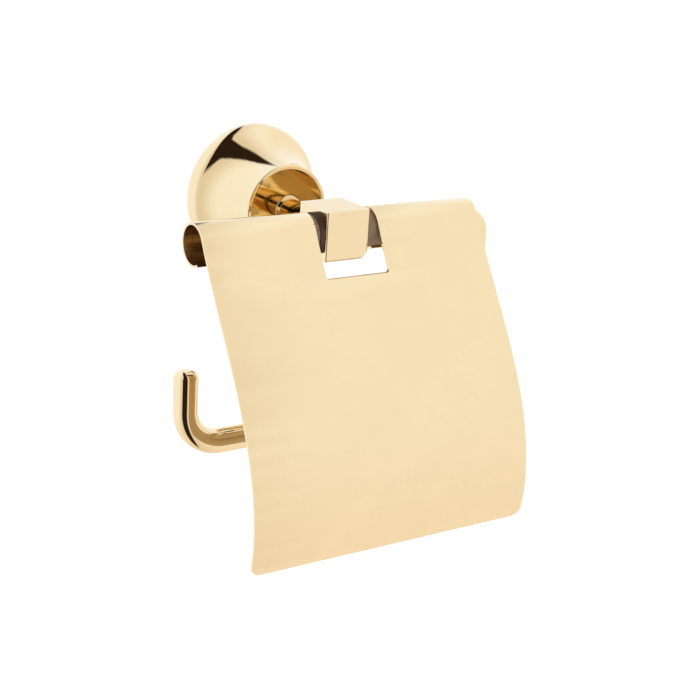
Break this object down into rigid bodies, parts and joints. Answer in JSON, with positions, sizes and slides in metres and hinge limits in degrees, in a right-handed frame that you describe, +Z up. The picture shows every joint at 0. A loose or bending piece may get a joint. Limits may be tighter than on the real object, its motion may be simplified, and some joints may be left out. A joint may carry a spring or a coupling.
{
  "type": "toilet paper holder",
  "caption": "Wall-mounted toilet paper holder with a round trumpet flange, a square head, a hooked roll bar and a curved hinged cover.",
  "frame": {"origin": "axis of the round flange on the wall, midway between the two wall-screw holes", "axes": "+X to the right along the roll, +Y into the wall, +Z up"},
  "size_m": [0.1471, 0.1256, 0.1469],
  "materials": {
    "flange_gold": "mirror-polished gold-coloured plating",
    "cup_gold": "mirror-polished gold-coloured plating",
    "post_gold": "mirror-polished gold-coloured plating",
    "ring_gold": "mirror-polished gold-coloured plating",
    "block_gold": "mirror-polished gold-coloured plating",
    "bar_gold": "mirror-polished gold-coloured plating",
    "cover_gold": "mirror-polished gold-coloured plating",
    "steel": "plain zinc-plated or stainless steel",
    "foam": "soft closed-cell foam",
    "nylon": "plain grey nylon",
    "black_rubber": "plain black rubber"
  },
  "bodies": {
    "holder": {"wall_gasket": "foam", "bracket_plate": "steel", "bracket_hub": "steel", "flange_shell": "flange_gold", "cup_liner": "cup_gold", "post_washer": "cup_gold", "post": "post_gold", "joining_stud": "steel", "lock_ring": "ring_gold", "neck_stem": "post_gold", "head_block": "block_gold", "grub_screws": "steel", "hanger_bar": "bar_gold", "pivot_stub": "bar_gold", "stub_clip": "steel", "friction_washer": "black_rubber", "bush_left": "nylon", "bush_right": "nylon", "end_bush": "nylon"},
    "cover": {"cover_flap": "cover_gold"}
  },
  "joints": [
    {"name": "cover_hinge", "type": "hinge", "parent": "holder", "child": "cover", "pos_m": [0, -0.0703, 0], "axis": [-1, 0, 0], "range_deg": [-30, 186]}
  ]
}
